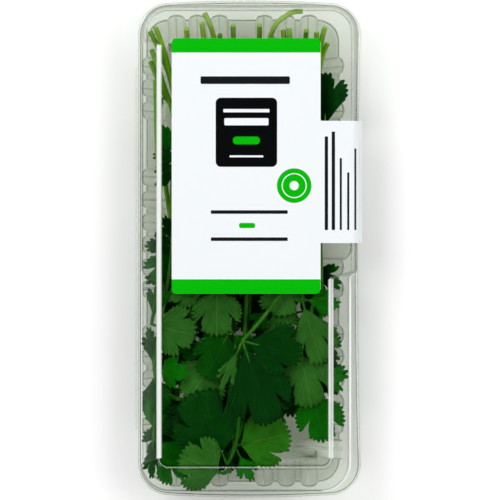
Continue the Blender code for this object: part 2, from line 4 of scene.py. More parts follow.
import bpy
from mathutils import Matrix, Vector


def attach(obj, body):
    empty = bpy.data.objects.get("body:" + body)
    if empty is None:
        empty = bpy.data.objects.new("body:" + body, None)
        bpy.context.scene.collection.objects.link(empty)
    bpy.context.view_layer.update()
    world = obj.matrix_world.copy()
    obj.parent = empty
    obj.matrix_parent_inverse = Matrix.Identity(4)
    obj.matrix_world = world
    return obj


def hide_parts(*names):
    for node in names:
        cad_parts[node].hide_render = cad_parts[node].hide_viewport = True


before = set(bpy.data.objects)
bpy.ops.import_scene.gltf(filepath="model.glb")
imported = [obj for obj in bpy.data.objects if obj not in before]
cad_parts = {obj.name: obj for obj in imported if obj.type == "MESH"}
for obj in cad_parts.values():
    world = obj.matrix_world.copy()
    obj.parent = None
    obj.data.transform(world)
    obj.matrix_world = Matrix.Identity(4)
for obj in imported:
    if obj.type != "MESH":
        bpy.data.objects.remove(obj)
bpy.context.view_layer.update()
mm = 0.001

# The pack, in millimetres, as the frame has it
pack = {
    "sheet": 0.38,
    "trayDepth": 22.0,
    "lidFlange": 23.2,
    "top": 31.0,
    "halfLength": 104.0,
    "flangeLeft": -46.25,
    "flangeRight": 46.95,
    "outerCorner": 13.0,
    "endBow": 1.0,
    "sideBow": 1.2,
}
rim = {"x0": -42.3, "x1": 37.5, "y0": -97.1, "y1": 95.6, "corner": 8.6}
tray = {
    "wallRun": 7.0,
    "footRun": 0.9,
    "footRise": 1.6,
    "floorCorner": 2.6,
    "fluteHalf": 3.5,
    "fluteDepth": 2.0,
    "longFlutes": (76.6, 67.4, 58.0, 30.1, 20.7, 11.3, -7.5, -16.7, -35.6, -45.0, -54.4, -64.4, -73.7),
    "endFlutes": (-30.2, -21.4, -12.2, 6.6, 15.9, 25.3),
    "button": {"at": 1.0, "half": 5.9, "depth": 5.4},
    "ramp": {"at": -84.0, "half": 4.4, "reach": 11.0},
}
dome = {"x0": -45.2, "x1": 45.7, "y0": -101.4, "y1": 102.2, "corner": 12.0}
lid = {
    "run": 1.8,
    "panelLeft": -37.5,
    "panelRight": 34.5,
    "panelBottom": -91.0,
    "panelCorner": 4.0,
    "footLeft": -44.8,
    "footRight": 42.2,
    "leftChamferEnd": 88.0,
    "rightChamferEnd": -9.0,
    "ease": 3.0,
}
hinge = {"x": -47.0, "z": 22.6, "radius": 0.42, "half": 75.8}
label = {
    "x0": -32.0, "x1": 30.0, "y0": -18.6, "y1": 87.8, "corner": 1.8,
    "tabLow": 2.5, "tabHigh": 53.4, "paper": 0.18, "gap": 0.3, "drop": 1.6,
}
pile = {
    "levels": 16, "low": 0.035, "high": 0.965, "clear": 0.55, "sheet": 0.45,
    "margin": 0.8, "endSlope": 0.8, "leastRoom": 0.3, "edgeRoom": 0.4,
}
# The pairs hold the value of a broad leaflet and what a narrow one adds: sweep is in degrees, and the
# others are shares of the leaflet's length
blade = {
    "toothColumns": 6, "rows": 10, "thickness": 0.2, "stem": 0.92, "hub": 1.3,
    "toothPitch": 1.8, "toothDepth": 1.5, "toothPower": 1.9, "cleftReach": 1.15, "cleftPower": 1.2,
    "narrowBelow": 36, "sweep": (150, -30), "centre": (0.53, 0.09), "along": (0.46, -0.08),
    "across": (0.74, 0.12), "lowLevels": 8, "lowWidening": 1.12,
}

# Each sprig: its level in the pile, its stem from the cut end to the node, and its leaflets as
# (bearing, stalk, length, half spread, which face is up)
sprigs = {
    "sprig_01": (15, [(16.9, 92), (19, 60), (17.4, 20), (15.3, -13), (8.2, -25.9), (-2.6, -38.3)],
                 [(-14, 1.5, 21, 34, "deep"), (-71, 2.0, 31, 26, "deep"), (-114, 4.0, 16, 12, "pale")]),
    "sprig_02": (10.5, [(-6.5, 93.5), (-5.2, 40), (-1, -10), (-3, -55), (-5, -80), (-8.9, -90.3)],
                 [(115, 4.7, 26, 50, "deep")]),
    "sprig_03": (13, [(-19.5, 94.5), (-15.5, 60), (-12.5, 20), (-13.3, -14.2)],
                 [(-90, 2.0, 17.5, 50, "pale"), (-164, 2.5, 17, 22, "pale"), (15, 2.5, 13, 42, "mid")]),
    "sprig_04": (14, [(-38.8, 70.7), (-38.2, 45), (-37, 20), (-37.6, -12), (-40.6, -31.5)],
                 [(-14, 1.5, 15.5, 58, "pale"), (78, 2.5, 13.5, 20, "mid")]),
    "sprig_05": (12, [(-18.4, 98.5), (-14, 85), (-12.6, 45), (-15.5, -8), (-9.6, -26.4), (-7.6, -33.8)],
                 [(-118, 1.5, 19, 42, "mid"), (-48, 1.5, 10, 30, "mid")]),
    "sprig_06": (10, [(-26, 92), (-24, 50), (-21, 0), (-17, -30), (-14.2, -46.5)],
                 [(-124, 1.5, 16.5, 58, "pale"), (160, 3.0, 11, 22, "mid")]),
    "sprig_07": (12, [(-40.5, 83.4), (-36, 70), (-30.4, 48), (-32, 0), (-37.5, -35), (-39.5, -50.5)],
                 [(-6, 1.5, 10.5, 52, "bright"), (-86, 1.5, 14, 26, "mid"), (97, 1.5, 14, 14, "mid")]),
    "sprig_08": (13, [(22.6, 99.2), (16.1, 97.6), (8.5, 86), (5.6, 40), (9.8, -4.6), (12.2, -11.4)],
                 [(-80, 2.0, 13, 66, "pale")]),
    "sprig_09": (14, [(14.4, 91.5), (21, 45), (24, 0), (22.2, -21)],
                 [(-73, 2.5, 23, 28, "pale"), (-8, 1.5, 12.5, 28, "bright")]),
    "sprig_10": (12, [(28.4, 90.5), (28.6, 40), (28.5, -10), (25, -32), (22, -42.3)],
                 [(-80, 1.5, 20, 44, "pale"), (26, 1.5, 12.5, 24, "mid")]),
    "sprig_11": (10.6, [(31.8, 92.5), (29.2, 76), (29.3, 30), (30.5, -25), (27.8, -56)],
                 [(-82, 4.0, 19, 40, "bright"), (20, 1.5, 11, 50, "bright"), (200, 1.5, 11, 34, "deep")]),
    "sprig_12": (9, [(4.6, 93.5), (4, 40), (0.5, -20), (-1, -58), (-3, -74), (-6, -82.5)],
                 [(12, 1.5, 20.5, 48, "light"), (-62, 4.0, 10, 26, "bright"), (-124, 1.5, 9.5, 34, "deep"),
                  (100, 1.5, 9, 32, "pale")]),
    "sprig_13": (7.5, [(-41, 78.5), (-36, 66), (-31, 52), (-34, 0), (-38.5, -50), (-40, -79)],
                 [(54, 1.5, 15.5, 66, "bright"), (-44, 2.0, 18.5, 34, "bright"), (-92, 1.5, 13, 12, "mid")]),
    "sprig_14": (8, [(33, 86), (29.5, 74), (21.6, 20.5), (8, -38), (2.5, -59)],
                 [(-112, 3.0, 13, 34, "mid"), (-50, 3.0, 13.5, 26, "dull")]),
    "sprig_15": (10, [(-41.2, 91), (-36, 80), (-31.6, 66), (-27.5, 36), (-29.3, 1.6)],
                 [(-178, 1.5, 10.5, 40, "mid"), (-122, 2.0, 15, 34, "bright"), (118, 1.5, 10, 26, "mid")]),
    "sprig_16": (13, [(-38.8, 92.5), (-34.5, 80), (-29.5, 58.2), (-27.4, 38)],
                 [(176, 1.5, 9, 32, "mid"), (126, 2.0, 12, 30, "bright"), (-132, 1.5, 12, 28, "mid")]),
    "sprig_17": (8.7, [(21.6, -4.6), (26, 28), (32.5, 49)],
                 [(93, 2.0, 21, 28, "deep"), (12, 1.5, 6.5, 40, "mid"), (162, 1.5, 12, 30, "mid")]),
    "sprig_18": (6.4, [(24.2, 91.5), (21.6, 50), (22.2, 10), (23.2, -8.5)],
                 [(-24, 1.5, 12.5, 30, "mid"), (-82, 1.5, 16, 30, "deep"), (-140, 1.5, 10, 28, "mid")]),
    "sprig_19": (6.2, [(-36.6, 63.5), (-37.4, 48), (-30.8, 0), (-22, -33)],
                 [(-98, 4.0, 20, 46, "deep"), (-172, 1.5, 12, 36, "deep"), (-28, 1.5, 16, 34, "pale")]),
    "sprig_20": (7, [(19, 88), (15, 50), (10, 0), (6.5, -42)],
                 [(-58, 4.0, 21, 42, "deep"), (12, 1.5, 14, 30, "dull"), (-128, 1.5, 12, 26, "deep")]),
    "sprig_21": (4, [(-12, 90), (-18, 40), (-24, -20), (-26, -58)],
                 [(-72, 5.0, 21, 46, "mid"), (-152, 1.5, 13, 34, "pale"), (0, 1.5, 16, 38, "deep")]),
    "sprig_22": (5, [(10, 89), (17, 40), (19, 0), (19.5, -27)],
                 [(-62, 5.0, 20, 44, "mid"), (12, 1.5, 12, 36, "mid"), (-140, 1.5, 16, 38, "deep")]),
    "sprig_23": (5, [(-22, 88), (-18, 40), (-8, 0), (-6, -40)],
                 [(-90, 4.0, 22, 44, "deep"), (-168, 1.5, 15, 34, "mid"), (-12, 1.5, 9.5, 30, "mid")]),
    "sprig_24": (3, [(27, 87), (27, 40), (25, -10), (24, -44)],
                 [(-112, 4.0, 22, 38, "deep"), (-52, 2.0, 16, 30, "deep"), (176, 1.5, 12, 30, "deep")]),
    "sprig_25": (2, [(-30, 86), (-29, 60), (-25, 20), (-25, -8)],
                 [(-95, 4.0, 21, 44, "deep"), (-164, 1.5, 15, 24, "mid"), (-20, 1.5, 17, 32, "deep")]),
    "sprig_26": (1, [(8, 86), (3, 60), (4, 36), (2, -8)],
                 [(-88, 4.0, 22, 46, "deep"), (-164, 1.5, 15, 30, "deep"), (-12, 1.5, 17, 30, "mid")]),
    "sprig_27": (0, [(18, 84), (6, 40), (-4, -10), (-8, -60)],
                 [(-78, 7.5, 23, 46, "deep"), (-158, 1.5, 18, 30, "deep"), (-6, 1.5, 17, 30, "deep")]),
    "sprig_28": (12, [(12, 60), (10, 20), (9, -8), (9.4, -24)],
                 [(-60, 1.8, 14, 40, "pale"), (-128, 1.5, 9, 26, "mid")]),
    "sprig_29": (13, [(-7.2, -91.8), (-10.6, -93.9)],
                 [(157, 0.8, 16.8, 60, "pale")]),
    "sprig_30": (9, [(-36.8, -58.5), (-34, -60.8), (-30, -62.9), (-24, -63.9), (-18, -66)],
                 [(-44, 1.0, 7.5, 30, "deep"), (-96, 1.5, 14, 24, "deep"), (-152, 1.5, 16, 26, "deep")]),
    "sprig_31": (5.2, [(-22, 60), (-26, 20), (-30, -30), (-33, -60), (-32.5, -72)],
                 [(-114, 1.5, 14, 42, "mid"), (-52, 6.0, 17, 24, "deep"), (28, 1.5, 10, 30, "deep")]),
}
tones = {"deep": 0.08, "mid": 0.5, "bright": 0.95, "dull": 0.05, "pale": 0.5, "light": 0.95}
paleFaces = ("dull", "pale", "light")


# Shader maths
class Signal:
    def __init__(self, shader, socket):
        self.shader = shader
        self.socket = socket

    def maths(self, operation, *others):
        return self.shader.read("Math", [self, *others], operation=operation)

    def __add__(self, other):
        return self.maths("ADD", other)

    __radd__ = __add__

    def __sub__(self, other):
        return self.maths("SUBTRACT", other)

    def __rsub__(self, other):
        return self.shader.read("Math", [other, self], operation="SUBTRACT")

    def __mul__(self, other):
        return self.maths("MULTIPLY", other)

    __rmul__ = __mul__

    def __truediv__(self, other):
        return self.maths("DIVIDE", other)

    def __abs__(self):
        return self.maths("ABSOLUTE")

    def power(self, other):
        return self.maths("POWER", other)

    def fract(self):
        return self.maths("FRACT")

    def least(self, other):
        return self.maths("MINIMUM", other)

    def most(self, other):
        return self.maths("MAXIMUM", other)

    def between(self, low, high):
        return self.shader.read("MapRange", [self, low, high], interpolation_type="SMOOTHSTEP")


class Shader:
    def __init__(self, name):
        self.material = bpy.data.materials.new(name)
        self.material.use_nodes = True
        self.tree = self.material.node_tree
        self.surface = self.tree.nodes["Principled BSDF"]
        self.output = self.tree.nodes["Material Output"]

    def feed(self, socket, value):
        if isinstance(value, Signal):
            self.tree.links.new(value.socket, socket)
        else:
            socket.default_value = value

    def node(self, kind, inputs=(), **settings):
        made = self.tree.nodes.new("ShaderNode" + kind)
        for key, value in settings.items():
            setattr(made, key, value)
        pairs = inputs.items() if isinstance(inputs, dict) else enumerate(inputs)
        for key, value in pairs:
            self.feed(made.inputs[key], value)
        return made

    def read(self, kind, inputs=(), output=0, **settings):
        return Signal(self, self.node(kind, inputs, **settings).outputs[output])

    def attribute(self, name):
        return self.read("Attribute", output="Fac", attribute_name=name)

    def place(self, kind="Object"):
        return self.read("TexCoord", output=kind)

    def parts(self, vector):
        split = self.node("SeparateXYZ", [vector])
        return [Signal(self, split.outputs[index]) for index in range(3)]

    def noise(self, where, scale, detail=3.0, roughness=0.5):
        inputs = {"Vector": where, "Scale": scale, "Detail": detail, "Roughness": roughness}
        return self.read("TexNoise", inputs)

    def mix(self, share, first, second):
        made = self.tree.nodes.new("ShaderNodeMix")
        made.data_type = "RGBA"
        self.feed(made.inputs["Factor"], share)
        self.feed(made.inputs[6], first)
        self.feed(made.inputs[7], second)
        return Signal(self, made.outputs[2])

    def bump(self, height, strength, distance):
        inputs = {"Height": height, "Strength": strength, "Distance": distance}
        return self.read("Bump", inputs, output="Normal")

    def set(self, **values):
        for key, value in values.items():
            self.feed(self.surface.inputs[key.replace("_", " ")], value)

    def show(self, signal):
        self.tree.links.new(signal.socket, self.output.inputs["Surface"])


def shade(red, green, blue):
    def linear(part):
        part /= 255
        return part / 12.92 if part <= 0.04045 else ((part + 0.055) / 1.055) ** 2.4
    return (linear(red), linear(green), linear(blue), 1.0)


# Materials
def leafMaterial(name, colours, veinColour, veinStrength, roughness):
    shader = Shader(name)
    across, along, _ = shader.parts(shader.place("UV"))
    where = shader.place()
    tone = shader.attribute("tone")
    local = abs((across * 3).fract() * 2 - 1)
    mainVein = 1 - (local * (along + 0.1)).between(0.01, 0.045)
    opening = ((along - 0.16) * 1.19).most(0.02).power(0.75)
    fan = abs((local / opening / 0.4 + 0.5).fract() - 0.5) * opening * 0.4
    sideVein = (1 - fan.between(0.006, 0.03)) * (1 - (local / opening).between(0.9, 1.1)) * 0.8
    veins = mainVein.most(sideVein) * (1 - along.between(0.6, 1.0) * 0.6)
    mottle = shader.noise(where, 260, 4, 0.6)
    broad = shader.noise(where, 60, 2, 0.5)
    deep, mid, bright = colours
    base = shader.mix((tone * 2).least(1), deep, mid)
    base = shader.mix((tone * 2 - 1).most(0), base, bright)
    shaded = shader.read("HueSaturation", {"Value": 0.66, "Color": base})
    base = shader.mix(broad.between(0.3, 0.7) * 0.5 + mottle.between(0.42, 0.68) * 0.5, base, shaded)
    base = shader.mix(veins * veinStrength, base, veinColour)
    height = veins * (-0.25 - veinStrength) + mottle * 0.45 + shader.noise(where, 1300, 2) * 0.15
    shader.set(Base_Color=base, Roughness=mottle * 0.12 + roughness, Specular_IOR_Level=0.03,
               Normal=shader.bump(height, 0.7, 0.0004))
    return shader.material


def stemMaterial():
    shader = Shader("stemGreen")
    where = shader.place()
    streak = shader.noise(shader.read("Mapping", {"Vector": where, "Scale": (900, 60, 900)}), 1.0, 3)
    patch = shader.noise(where, 60, 2)
    _, y, _ = shader.parts(where)
    young = shader.mix(patch.between(0.35, 0.65), shade(28, 96, 12), shade(52, 118, 26))
    old = shader.mix(patch.between(0.35, 0.65), shade(96, 156, 12), shade(140, 186, 38))
    base = shader.mix(y.between(-0.03, 0.055), young, old)
    base = shader.mix(y.between(0.086, 0.0965) * 0.7, base, shade(176, 204, 118))
    base = shader.mix(streak.between(0.5, 0.8) * 0.3, base, shade(150, 186, 88))
    shader.set(Base_Color=base, Roughness=0.35, Specular_IOR_Level=0.05,
               Normal=shader.bump(streak, 0.35, 0.0002))
    return shader.material


# The band below is the height, in metres, over which the tray's darker tint inside, which is painted shade,
# gives way to the rim's paler one
plasticLook = {"index": 1.5, "insideShadeBand": (0.019, 0.0222), "roughness": 0.045, "gloss": 0.42}


def plasticMaterial(name, low, high):
    shader = Shader(name)
    where = shader.place()
    _, _, z = shader.parts(where)
    # The point attribute read here paints lines along the sheet's bends: positive values a dark outline of
    # painted shade, negative values a milky painted highlight
    paintedBendLine = shader.attribute("paintedBendLine")
    ripple = shader.noise(where, 26, 2) + shader.noise(where, 90, 2) * 0.12
    normal = shader.bump(ripple, 0.12, 0.0012)
    backFace = shader.read("NewGeometry", output="Backfacing")
    index = plasticLook["index"]
    fresnel = shader.read("Fresnel", {"IOR": backFace * (1 / index - index) + index, "Normal": normal})
    facing = shader.read("LayerWeight", {"Blend": 0.5}, output="Facing")
    inner = shader.read("BsdfTransparent", {"Color": low})
    outer = shader.read("BsdfTransparent", {"Color": high})
    # The darker tint below the band is painted shade inside the tray
    clear = shader.read("MixShader", [z.between(*plasticLook["insideShadeBand"]), inner, outer])
    gloss = shader.read("BsdfGlossy", {"Color": (0.98, 1.0, 0.98, 1), "Roughness": plasticLook["roughness"],
                                       "Normal": normal})
    # A dark see-through sheet, mixed in at grazing angles and as painted shade along the marked bends
    grazingAndPaintedBendShade = shader.read("BsdfTransparent", {"Color": (0.3, 0.34, 0.28, 1)})
    # A white diffuse sheet, mixed in along the marked bends as a painted highlight
    paintedHighlight = shader.read("BsdfDiffuse", {"Color": (0.95, 0.97, 0.95, 1)})
    shaded = shader.read("MixShader", [(facing.power(3.4) * 0.88).most(paintedBendLine * 0.85), clear, grazingAndPaintedBendShade])
    highlightedSheet = shader.read("MixShader", [(0 - paintedBendLine).most(0) * 0.8, shaded, paintedHighlight])
    shader.tree.nodes.remove(shader.surface)
    shader.show(shader.read("MixShader", [fresnel * plasticLook["gloss"], highlightedSheet, gloss]))
    return shader.material


# The label's plain marks, as (centre x, centre y, half width, half height, corner). A tab bar is
# (centre x, half width, half height) and stands on tabBarFoot, and the disc's sizes are radii
marking = {
    "band": {"halfHeight": 3, "halfWidth": 32, "end": (29.9, 30.0)},
    "title": (-1.4, 70.3, 18.6, 1.6, 0.6),
    "lines": ((0.3, 15.4, 16.0, 0.75, 0.3), (0.3, 4.1, 16.0, 0.75, 0.3)),
    "tabBars": ((32.4, 0.7, 19.5), (35.3, 0.7, 20.5), (38.4, 0.45, 15), (41.5, 0.45, 12), (44.5, 0.45, 17)),
    "tabBarFoot": 7.9,
    "tabBarCorner": 0.3,
    "block": (-0.9, 48.6, 12.8, 14.4, 2.2),
    "blockBars": ((-0.9, 57.6, 9.6, 0.7, 0.3), (-0.9, 53.0, 9.2, 1.5, 0.5), (-0.9, 38.6, 7.0, 0.4, 0.2)),
    "greenBars": ((-0.9, 45.2, 5.6, 1.6, 1.5), (-0.6, 9.8, 3.4, 1.1, 1.0)),
    "disc": {"at": (19.0, 26.4), "radius": 7.2, "ring": (4.8, 5.2), "dot": 1.9},
}


def labelMaterial():
    shader = Shader("labelPaper")
    x, y, _ = shader.parts(shader.place())
    x, y = x / mm, y / mm

    def box(centreX, centreY, halfX, halfY, corner=0.1):
        outX = (abs(x - centreX) - (halfX - corner)).most(0)
        outY = (abs(y - centreY) - (halfY - corner)).most(0)
        distance = (outX * outX + outY * outY).power(0.5) - corner
        return 1 - distance.between(-0.05, 0.05)

    def disc(centreX, centreY, radius):
        offX, offY = x - centreX, y - centreY
        return 1 - ((offX * offX + offY * offY).power(0.5) - radius).between(-0.06, 0.06)

    white, green, dark = shade(240, 244, 247), shade(8, 184, 9), shade(9, 10, 11)
    ink = shade(24, 26, 28)

    def boxes(places):
        joined = box(*places[0])
        for place in places[1:]:
            joined = joined.most(box(*place))
        return joined

    band, middle = marking["band"], (label["x0"] + label["x1"]) / 2
    rise, reach = band["halfHeight"], band["halfWidth"]
    bands = boxes(((middle, label["y1"] - rise, reach, rise), (middle, label["y0"] + rise, reach, rise)))
    colour = shader.mix(bands * (1 - x.between(*band["end"])), white, green)
    marks = boxes((marking["title"],)).most(boxes(marking["lines"]))
    foot, corner = marking["tabBarFoot"], marking["tabBarCorner"]
    for place, thick, reach in marking["tabBars"]:
        marks = marks.most(box(place, foot + reach, thick, reach, corner))
    colour = shader.mix(marks, colour, ink)
    colour = shader.mix(box(*marking["block"]), colour, dark)
    colour = shader.mix(boxes(marking["blockBars"]), colour, white)
    colour = shader.mix(boxes(marking["greenBars"]), colour, green)
    seal = marking["disc"]
    inside, outside = seal["ring"]
    colour = shader.mix(disc(*seal["at"], seal["radius"]), colour, green)
    ring = disc(*seal["at"], outside) * (1 - disc(*seal["at"], inside))
    colour = shader.mix(ring.most(disc(*seal["at"], seal["dot"])), colour, white)
    fibre = shader.noise(shader.place(), 1400, 3)
    shader.set(Base_Color=colour, Roughness=fibre * 0.1 + 0.3, Specular_IOR_Level=0.02,
               Normal=shader.bump(fibre, 0.12, 0.0001))
    return shader.material


def labelBackMaterial():
    shader = Shader("labelBack")
    fibre = shader.noise(shader.place(), 1400, 3)
    shader.set(Base_Color=shader.mix(fibre, shade(226, 229, 230), shade(240, 242, 243)), Roughness=0.6,
               Specular_IOR_Level=0.02, Normal=shader.bump(fibre, 0.12, 0.0001))
    return shader.material


def floorMaterial():
    shader = Shader("floorPale")
    grain = shader.noise(shader.place(), 30, 2)
    shader.set(Base_Color=shader.mix(grain, (0.97, 0.97, 0.97, 1), (0.99, 0.99, 0.99, 1)), Roughness=0.7,
               Specular_IOR_Level=0.2, Emission_Color=(1, 1, 1, 1), Emission_Strength=0.1)
    return shader.material


# Mesh helpers
def startFresh():
    bpy.ops.object.select_all(action="DESELECT")


def gridSheet(name, columns, rows, place):
    startFresh()
    bpy.ops.mesh.primitive_grid_add(x_subdivisions=columns, y_subdivisions=rows, size=2)
    obj = bpy.context.object
    obj.name = name
    for vert in obj.data.vertices:
        across, along = (vert.co.x + 1) / 2, (vert.co.y + 1) / 2
        vert.co = Vector(place(across, along)) * mm
    return obj


def applyModifiers(obj):
    startFresh()
    bpy.context.view_layer.objects.active = obj
    obj.select_set(True)
    for modifier in list(obj.modifiers):
        bpy.ops.object.modifier_apply(modifier=modifier.name)


def solidify(obj, thickness, offset, shift=0):
    modifier = obj.modifiers.new("thickness", "SOLIDIFY")
    modifier.thickness = thickness * mm
    modifier.offset = offset
    modifier.material_offset = shift
    modifier.material_offset_rim = shift
    applyModifiers(obj)


def joinAll(objs, name):
    startFresh()
    bpy.context.view_layer.objects.active = objs[0]
    for obj in objs:
        obj.select_set(True)
    if len(objs) > 1:
        bpy.ops.object.join()
    joined = bpy.context.view_layer.objects.active
    joined.name = name
    return joined


def ease(value):
    value = min(1.0, max(0.0, value))
    return value * value * (3 - 2 * value)


# Outlines of the pack
def spread(low, high, step):
    count = max(1, round((high - low) / step))
    return [low + (high - low) * index / count for index in range(count + 1)]


def perimeter(box, step, turns):
    low, high = box["y0"] + box["corner"], box["y1"] - box["corner"]
    left, right = box["x0"] + box["corner"], box["x1"] - box["corner"]
    share = [(index + 0.5) / turns for index in range(turns)]
    long, short = spread(low, high, step), spread(left, right, step)
    stations = [("right", place) for place in long]
    stations += [("top_right", part) for part in share]
    stations += [("top", place) for place in reversed(short)]
    stations += [("top_left", part) for part in share]
    stations += [("left", place) for place in reversed(long)]
    stations += [("bottom_left", part) for part in share]
    stations += [("bottom", place) for place in short]
    stations += [("bottom_right", part) for part in share]
    spans = {"right": (low, high), "top": (left, right)}
    return stations, spans


def cornerTurn(side, share, box, spans):
    up, along = ("top" in side), ("right" in side)
    overY = (spans["right"][1] - box["y1"] if up else box["y0"] - spans["right"][0]) + box["corner"]
    overX = (spans["top"][1] - box["x1"] if along else box["x0"] - spans["top"][0]) + box["corner"]
    fromSide = math.asin(min(1.0, max(0.0, overY) / box["corner"]))
    fromEnd = math.pi / 2 - math.asin(min(1.0, max(0.0, overX) / box["corner"]))
    start = {"top_right": 0, "top_left": 90, "bottom_left": 180, "bottom_right": 270}[side]
    if side in ("top_left", "bottom_right"):
        fromSide, fromEnd = math.pi / 2 - fromEnd, math.pi / 2 - fromSide
    return math.radians(start) + fromSide + (fromEnd - fromSide) * share


def outlinePoint(station, box, spans):
    side, value = station
    corner = box["corner"]
    if side in ("right", "left", "top", "bottom"):
        low, high = (box["y0"], box["y1"]) if side in ("right", "left") else (box["x0"], box["x1"])
        over = max(0.0, value - high + corner, low + corner - value)
        drop = corner - math.sqrt(max(0.0, corner * corner - over * over))
        return {"right": (Vector((box["x1"] - drop, value)), Vector((1, 0))),
                "left": (Vector((box["x0"] + drop, value)), Vector((-1, 0))),
                "top": (Vector((value, box["y1"] - drop)), Vector((0, 1))),
                "bottom": (Vector((value, box["y0"] + drop)), Vector((0, -1)))}[side]
    centre = Vector((box["x1"] - corner if "right" in side else box["x0"] + corner,
                     box["y1"] - corner if "top" in side else box["y0"] + corner))
    angle = cornerTurn(side, value, box, spans)
    way = Vector((math.cos(angle), math.sin(angle)))
    return centre + way * corner, way


def inset(box, distance, corner=None):
    return {"x0": box["x0"] + distance, "x1": box["x1"] - distance,
            "y0": box["y0"] + distance, "y1": box["y1"] - distance,
            "corner": corner or max(2.0, box["corner"] - distance)}


def flangeBox(shrink=0.0):
    edge = pack["halfLength"] - pack["endBow"]
    return {"x0": pack["flangeLeft"] + shrink, "x1": pack["flangeRight"] - shrink,
            "y0": -edge + shrink, "y1": edge - shrink, "corner": pack["outerCorner"] - shrink}


def flangeShape(station, point, way):
    side, value = station
    if side == "right":
        straight = pack["halfLength"] - pack["endBow"] - pack["outerCorner"]
        point = point - way * pack["sideBow"] * max(0.0, 1 - (value / straight) ** 2)
    elif side in ("top", "bottom"):
        straight = pack["flangeRight"] - pack["outerCorner"]
        point = point + way * pack["endBow"] * max(0.0, 1 - (value / straight) ** 2)
    return point


def flutesOf(side):
    if side in ("top", "bottom"):
        return tray["endFlutes"]
    if side in ("right", "left"):
        return tray["longFlutes"] + ((1.9,) if side == "left" else ())
    return ()


def fluteBulge(side, value, height):
    flutes = flutesOf(side)
    if not flutes:
        return 0.0

    def hump(centre, half, power=0.5):
        near = abs(value - centre) / half
        return max(0.0, 1 - near * near) ** power

    bulge = tray["fluteDepth"] * (0.25 + 0.75 * height) * max(hump(at, tray["fluteHalf"]) for at in flutes)
    if side == "right":
        button, ramp = tray["button"], tray["ramp"]
        bulge = max(bulge, button["depth"] * height * hump(button["at"], button["half"]))
        crown = hump(ramp["at"], ramp["half"])
        if crown > 0:
            bulge = (tray["fluteDepth"] * height - ramp["reach"] * (1 - height)) * crown
    return bulge


# A profile with its corners rounded: every bend becomes an arc of the given reach
def roundedProfile(controls, reaches, steps=4):
    points = [controls[0]]
    for before, corner, after, reach in zip(controls, controls[1:], controls[2:], reaches):
        first = corner + (before - corner).normalized() * min(reach, (before - corner).length * 0.48)
        last = corner + (after - corner).normalized() * min(reach, (after - corner).length * 0.48)
        for index in range(steps + 1):
            share = index / steps
            points.append(first.lerp(corner, share).lerp(corner.lerp(last, share), share))
    points.append(controls[-1])
    return points


# A sheet formed through rings of outlines, from its closed middle outwards to its edge
def formedSheet(name, rings, reaches, stations, spans, paintedBendLineAt):
    columns = []
    for station in stations:
        controls = []
        for box, z, shape in rings:
            point, way = outlinePoint(station, box, spans)
            if shape:
                point = shape(station, point, way)
            controls.append(Vector((point.x, point.y, z)))
        columns.append(roundedProfile(controls, reaches))
    columns.append(columns[0])
    rows = len(columns[0])

    def place(across, along):
        return columns[round(across * (len(columns) - 1))][round(along * (rows - 1))]

    obj = gridSheet(name, len(columns) - 1, rows - 1, place)
    # The grid's points run round all stations, then on to the next row
    # Each point gets its painted line: a dark outline of painted shade (positive) or a milky painted
    # highlight (negative)
    paintedBendLine = obj.data.attributes.new("paintedBendLine", "FLOAT", "POINT")
    for index, item in enumerate(paintedBendLine.data):
        item.value = paintedBendLineAt(stations[index % len(columns) % len(stations)], index // len(columns))
    startFresh()
    bpy.context.view_layer.objects.active = obj
    obj.select_set(True)
    bpy.ops.object.mode_set(mode="EDIT")
    bpy.ops.mesh.select_all(action="SELECT")
    bpy.ops.mesh.remove_doubles(threshold=0.000001)
    bpy.ops.mesh.select_all(action="DESELECT")
    bpy.ops.object.mode_set(mode="OBJECT")
    inner = {tuple(round(part / mm * 100) for part in column[0] * mm) for column in columns}
    for vert in obj.data.vertices:
        vert.select = tuple(round(part / mm * 100) for part in vert.co) in inner
    bpy.ops.object.mode_set(mode="EDIT")
    bpy.ops.mesh.select_mode(type="VERT")
    bpy.ops.mesh.edge_face_add()
    bpy.ops.mesh.select_all(action="SELECT")
    bpy.ops.mesh.normals_make_consistent(inside=False)
    bpy.ops.object.mode_set(mode="OBJECT")
    return obj


# Painted lines on the sheet, by the row of its profile, counted from the middle outwards: a positive value
# paints a dark outline of shade along a bend (1 is darkest), a negative one a milky painted highlight (-1 is
# brightest)
trayPaintedBendLines = {3: 0.15, 8: 0.25, 12: 0.9, 13: 1.0, 14: -0.8, 18: 0.7}
lidPaintedBendLines = {2: 0.6, 3: -0.8, 4: 0.4, 7: 0.5, 8: 0.8, 9: -0.6, 13: 0.6}


def trayPaintedBendLine(station, row):
    side, value = station
    if 6 <= row <= 14 and flutesOf(side):
        near = min(abs(value - at) for at in flutesOf(side))
        # Painted shade: a dark outline along each flute's edges
        if abs(near - tray["fluteHalf"]) < 0.35:
            return 0.4
        # Painted highlight along each flute's crest
        if near < 0.3 and row < 12:
            return -0.35
        offRamp = abs(value - tray["ramp"]["at"])
        # Painted highlight down the ramp's middle, painted shade along its sides
        if side == "right" and offRamp < tray["ramp"]["half"]:
            return -0.9 if offRamp < 0.6 and 5 < row < 12 else 0.5 * (offRamp > 3.6)
    return trayPaintedBendLines.get(row, 0.0)


def lidPaintedBendLine(station, row):
    side, value = station
    long = side in ("left", "right") and value < -9 or side == "bottom_right"
    # Painted highlights along the left and right chamfers and the long sides' bends; elsewhere the table's
    # painted shade, with its painted highlights weakened
    if side == "left" and 2 <= row <= 4 and value < lid["leftChamferEnd"] - lid["ease"]:
        return -1.0
    if side == "right" and row in (2, 4) and value < lid["rightChamferEnd"] - lid["ease"]:
        return -0.85
    if long and row in (8, 9):
        return -0.9
    mark = lidPaintedBendLines.get(row, 0.0)
    return mark if mark > 0 else mark * 0.4


